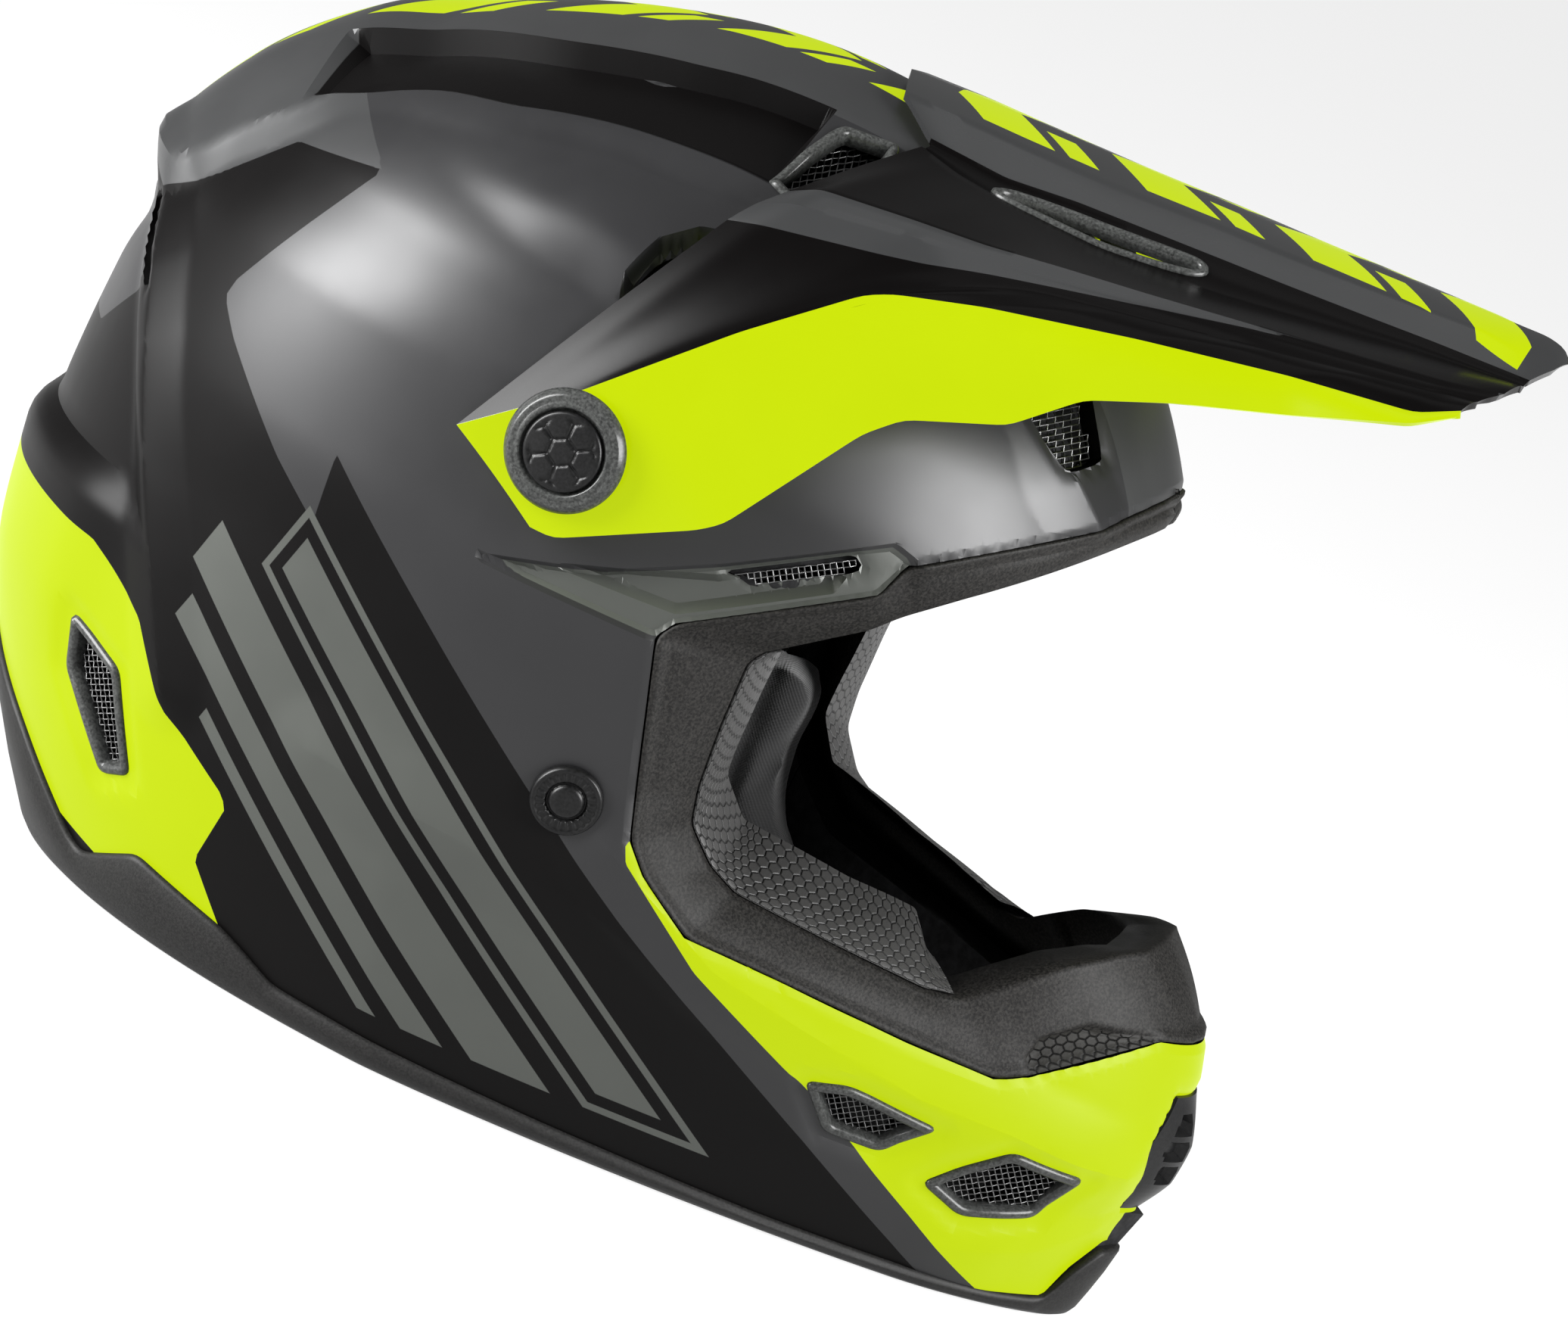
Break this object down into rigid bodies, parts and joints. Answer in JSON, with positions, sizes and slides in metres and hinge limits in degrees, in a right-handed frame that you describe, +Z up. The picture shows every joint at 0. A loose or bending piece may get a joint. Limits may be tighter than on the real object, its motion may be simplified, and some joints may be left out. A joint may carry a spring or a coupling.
{
  "type": "motocross helmet",
  "caption": "Full-face off-road helmet with a long peak that tilts on side screws, open eye port, vented chin bar, padded liner and a D-ring chin strap.",
  "frame": {"origin": "centre of the outline at the base, on the plane of the base trim that the helmet stands on", "axes": "+Z up, the helmet faces -Y, the wearer's right is -X"},
  "size_m": [0.263, 0.3484, 0.276],
  "materials": {
    "shell": "satin",
    "foam": "matte",
    "rubber": "grained",
    "pad": "soft, patterned",
    "comfort": "woven",
    "bezel": "satin",
    "vent_mesh": "woven",
    "visor": "gloss",
    "cap": "satin",
    "steel": "brushed",
    "webbing": "woven"
  },
  "bodies": {
    "helmet": {"outer_shell": "shell", "eps_crown_liner": "foam", "eps_chin_liner": "foam", "eyeport_trim": "rubber", "base_trim": "rubber", "port_pad_right": "pad", "port_pad_left": "pad", "crown_pad": "comfort", "cheek_pad_right": "comfort", "cheek_pad_left": "comfort", "neck_roll": "comfort", "rear_vent_bezel_right": "bezel", "rear_vent_bezel_left": "bezel", "rear_vent_mesh_right": "vent_mesh", "rear_vent_mesh_left": "vent_mesh", "chin_vent_upper_bezel_right": "bezel", "chin_vent_upper_bezel_left": "bezel", "chin_vent_upper_mesh_right": "vent_mesh", "chin_vent_upper_mesh_left": "vent_mesh", "chin_vent_lower_bezel_right": "bezel", "chin_vent_lower_bezel_left": "bezel", "chin_vent_lower_mesh_right": "vent_mesh", "chin_vent_lower_mesh_left": "vent_mesh", "top_vent_bezel_right": "bezel", "top_vent_bezel_left": "bezel", "top_vent_mesh_right": "vent_mesh", "top_vent_mesh_left": "vent_mesh", "slit_vent_mesh_right": "vent_mesh", "slit_vent_mesh_left": "vent_mesh", "scoop_vent_mesh_right": "vent_mesh", "scoop_vent_mesh_left": "vent_mesh", "rear_slot_mesh_right": "vent_mesh", "rear_slot_mesh_left": "vent_mesh", "brow_vent_mesh_right": "vent_mesh", "brow_vent_mesh_left": "vent_mesh", "mouth_grille": "bezel", "mouth_mesh": "vent_mesh", "visor_insert_right": "steel", "visor_insert_left": "steel", "visor_centre_insert": "steel", "strap_rivet_right": "steel", "strap_rivet_left": "steel", "rivet_cap_right": "cap", "rivet_cap_left": "cap", "ring_strap": "webbing", "long_strap": "webbing", "strap_snap": "cap"},
    "visor": {"visor": "visor", "visor_bush_right": "cap", "visor_bush_left": "cap"},
    "right_screw": {"visor_screw_right": "cap"},
    "left_screw": {"visor_screw_left": "cap"},
    "centre_screw": {"visor_centre_screw": "cap"},
    "lower_ring": {"d_ring_lower": "steel"},
    "upper_ring": {"d_ring_upper": "steel"}
  },
  "joints": [
    {"name": "visor_tilt", "type": "hinge", "parent": "helmet", "child": "visor", "pos_m": [0, 0.02392, 0.1665], "axis": [1, 0, 0], "range_deg": [-6, 1.2]},
    {"name": "right_screw_turn", "type": "hinge", "parent": "helmet", "child": "right_screw", "pos_m": [0, 0.02392, 0.1665], "axis": [-1, 0, 0], "continuous": true},
    {"name": "left_screw_turn", "type": "hinge", "parent": "helmet", "child": "left_screw", "pos_m": [0, 0.02392, 0.1665], "axis": [1, 0, 0], "continuous": true},
    {"name": "centre_screw_turn", "type": "hinge", "parent": "helmet", "child": "centre_screw", "pos_m": [0, 0.02392, 0.1665], "axis": [0, -0.6428, 0.766], "continuous": true},
    {"name": "lower_ring_swing", "type": "hinge", "parent": "helmet", "child": "lower_ring", "pos_m": [-0.03, -0.00758, 0.0066], "axis": [0, 1, 0], "range_deg": [0, 12]},
    {"name": "upper_ring_swing", "type": "hinge", "parent": "helmet", "child": "upper_ring", "pos_m": [-0.03, -0.00758, 0.0107], "axis": [0, 1, 0], "range_deg": [-90, 0]}
  ]
}
